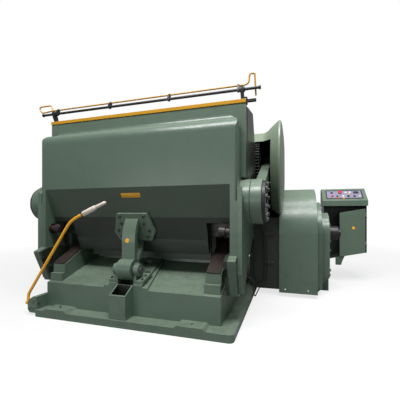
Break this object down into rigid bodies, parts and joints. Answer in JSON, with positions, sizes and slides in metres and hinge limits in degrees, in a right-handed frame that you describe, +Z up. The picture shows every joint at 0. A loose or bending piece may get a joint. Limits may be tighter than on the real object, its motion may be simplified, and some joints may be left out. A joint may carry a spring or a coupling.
{
  "type": "platen die cutting press",
  "caption": "Industrial clamshell platen press that cuts and creases board: hinged platen, two rods with cranks, gear guards, covered flywheel, clutch lever and a side console.",
  "frame": {"origin": "on the floor in the centre plane of the press, straight under the hinge pin of the platen", "axes": "+X to the right seen by the operator, along the hinge pin; +Y away from the operator, towards the die bed; +Z up"},
  "size_m": [4.127, 2.98, 2.3716],
  "materials": {
    "green_enamel": "semi-gloss grey-green enamel",
    "dark_green_enamel": "semi-gloss enamel, darkened by oil",
    "pale_green_enamel": "semi-gloss pale green enamel",
    "yellow_enamel": "gloss yellow enamel",
    "black_enamel": "satin black",
    "bare_steel": "machined",
    "greasy_steel": "brown grease film",
    "bright_bolts": "bright plated",
    "belt_rubber": "matt",
    "cable_sheath": "matt",
    "grip_plastic": "worn pale beige",
    "grey_plate": "satin, grey-lilac film",
    "green_button": "gloss",
    "red_button": "gloss",
    "black_plastic": "matt",
    "lamp_plastic": "gloss"
  },
  "bodies": {
    "frame": {"base_casting": "green_enamel", "oil_trough": "green_enamel", "guide_rails": "greasy_steel", "hinge_bracket": "green_enamel", "hinge_bracket_bolts": "dark_green_enamel", "hinge_pin": "bare_steel", "lever_bracket": "green_enamel", "bed_casting": "dark_green_enamel", "die_chase": "bare_steel", "side_frame_left": "green_enamel", "side_frame_right": "green_enamel", "bearing_caps": "pale_green_enamel", "gear_guard_left": "pale_green_enamel", "gear_guard_right": "pale_green_enamel", "flywheel_cover": "green_enamel", "clutch_housing": "green_enamel", "outboard_stand": "green_enamel", "stand_bolts": "bright_bolts", "clutch_cylinder": "black_enamel", "drive_motor": "green_enamel", "motor_base": "dark_green_enamel", "drive_belts": "belt_rubber", "console_cabinet": "green_enamel", "console_hood": "green_enamel", "control_plate": "grey_plate", "console_stand": "black_enamel", "pilot_lamps": "lamp_plastic", "sensor_cable": "cable_sheath", "cable_glands": "bare_steel"},
    "platen": {"platen_casting": "green_enamel", "back_plate": "green_enamel", "cutting_plate": "bare_steel", "top_bar": "yellow_enamel", "shaft_brackets": "black_enamel", "trunnion_hubs": "green_enamel", "guide_rollers": "greasy_steel", "hinge_arm": "green_enamel", "hinge_arm_bolts": "dark_green_enamel"},
    "safety_bar": {"control_shaft": "black_enamel", "safety_rod": "yellow_enamel"},
    "rod_left": {"connecting_rod_left": "green_enamel", "rod_cap_left": "black_enamel", "rod_cap_bolts_left": "bright_bolts"},
    "rod_right": {"connecting_rod_right": "green_enamel", "rod_cap_right": "black_enamel", "rod_cap_bolts_right": "bright_bolts"},
    "crank": {"crankshaft": "bare_steel", "crank_gears": "bare_steel"},
    "intermediate": {"intermediate_shaft": "bare_steel", "intermediate_gear": "bare_steel"},
    "clutch_output": {"clutch_shaft": "bare_steel"},
    "flywheel_wheel": {"flywheel": "dark_green_enamel"},
    "motor_wheel": {"motor_pulley": "dark_green_enamel"},
    "lever": {"clutch_lever": "yellow_enamel", "lever_grip": "grip_plastic"},
    "door": {"console_door": "green_enamel"},
    "button_start": {"start_button": "green_button"},
    "button_stop": {"stop_button": "red_button"},
    "button_emergency": {"emergency_stop": "red_button"},
    "knob": {"selector_knob": "black_plastic"}
  },
  "joints": [
    {"name": "platen_swing", "type": "hinge", "parent": "frame", "child": "platen", "pos_m": [0, 0, 0.5], "axis": [1, 0, 0], "range_deg": [0, 50]},
    {"name": "rod_left_swing", "type": "hinge", "parent": "platen", "child": "rod_left", "pos_m": [-1.234, 0.255, 1.163], "axis": [1, 0, 0], "range_deg": [-56, 1]},
    {"name": "rod_right_swing", "type": "hinge", "parent": "platen", "child": "rod_right", "pos_m": [1.234, 0.255, 1.163], "axis": [1, 0, 0], "range_deg": [-56, 1]},
    {"name": "crank_turn", "type": "hinge", "parent": "frame", "child": "crank", "pos_m": [0, 1.495, 1.65], "axis": [1, 0, 0], "range_deg": [-1, 175]},
    {"name": "intermediate_turn", "type": "hinge", "parent": "frame", "child": "intermediate", "pos_m": [0, 1.67081, 1.13942], "axis": [1, 0, 0], "range_deg": [-874, 1]},
    {"name": "clutch_shaft_turn", "type": "hinge", "parent": "frame", "child": "clutch_output", "pos_m": [1, 1.8846, 0.77791], "axis": [1, 0, 0], "range_deg": [-1, 2795]},
    {"name": "lever_pull", "type": "hinge", "parent": "frame", "child": "lever", "pos_m": [-1.085, -0.165, 0.126], "axis": [1, 0, 0], "range_deg": [-1, 51]},
    {"name": "flywheel_spin", "type": "hinge", "parent": "frame", "child": "flywheel_wheel", "pos_m": [1.521, 1.8846, 0.77791], "axis": [1, 0, 0], "continuous": true},
    {"name": "motor_spin", "type": "hinge", "parent": "frame", "child": "motor_wheel", "pos_m": [1.521, 2.56, 0.33], "axis": [1, 0, 0], "continuous": true},
    {"name": "safety_bar_swing", "type": "hinge", "parent": "platen", "child": "safety_bar", "pos_m": [0, 0.195, 2.213], "axis": [1, 0, 0], "range_deg": [-12, 20], "stiffness_Nm_per_rad": 40},
    {"name": "console_door_swing", "type": "hinge", "parent": "frame", "child": "door", "pos_m": [2.636, 2.3856, 0.8], "axis": [0, 0, 1], "range_deg": [0, 95]},
    {"name": "start_press", "type": "slide", "parent": "frame", "child": "button_start", "axis": [0, 0.6428, -0.766], "range_m": [0, 0.006], "stiffness_N_per_m": 400},
    {"name": "stop_press", "type": "slide", "parent": "frame", "child": "button_stop", "axis": [0, 0.6428, -0.766], "range_m": [0, 0.006], "stiffness_N_per_m": 400},
    {"name": "emergency_press", "type": "slide", "parent": "frame", "child": "button_emergency", "axis": [0, 0.6428, -0.766], "range_m": [0, 0.006], "stiffness_N_per_m": 400},
    {"name": "selector_turn", "type": "hinge", "parent": "frame", "child": "knob", "pos_m": [2.407, 2.44343, 1.31749], "axis": [0, -0.6428, 0.766], "range_deg": [-45, 45]}
  ],
  "couplings": [
    {"joint": "rod_left_swing", "follows": "platen_swing", "ratio": -1.1076},
    {"joint": "rod_right_swing", "follows": "platen_swing", "ratio": -1.1076},
    {"joint": "crank_turn", "follows": "platen_swing", "ratio": 3.492},
    {"joint": "intermediate_turn", "follows": "platen_swing", "ratio": -17.46},
    {"joint": "clutch_shaft_turn", "follows": "platen_swing", "ratio": 55.872},
    {"joint": "lever_pull", "follows": "platen_swing", "ratio": 1},
    {"joint": "motor_spin", "follows": "flywheel_spin", "ratio": 7.8571}
  ]
}
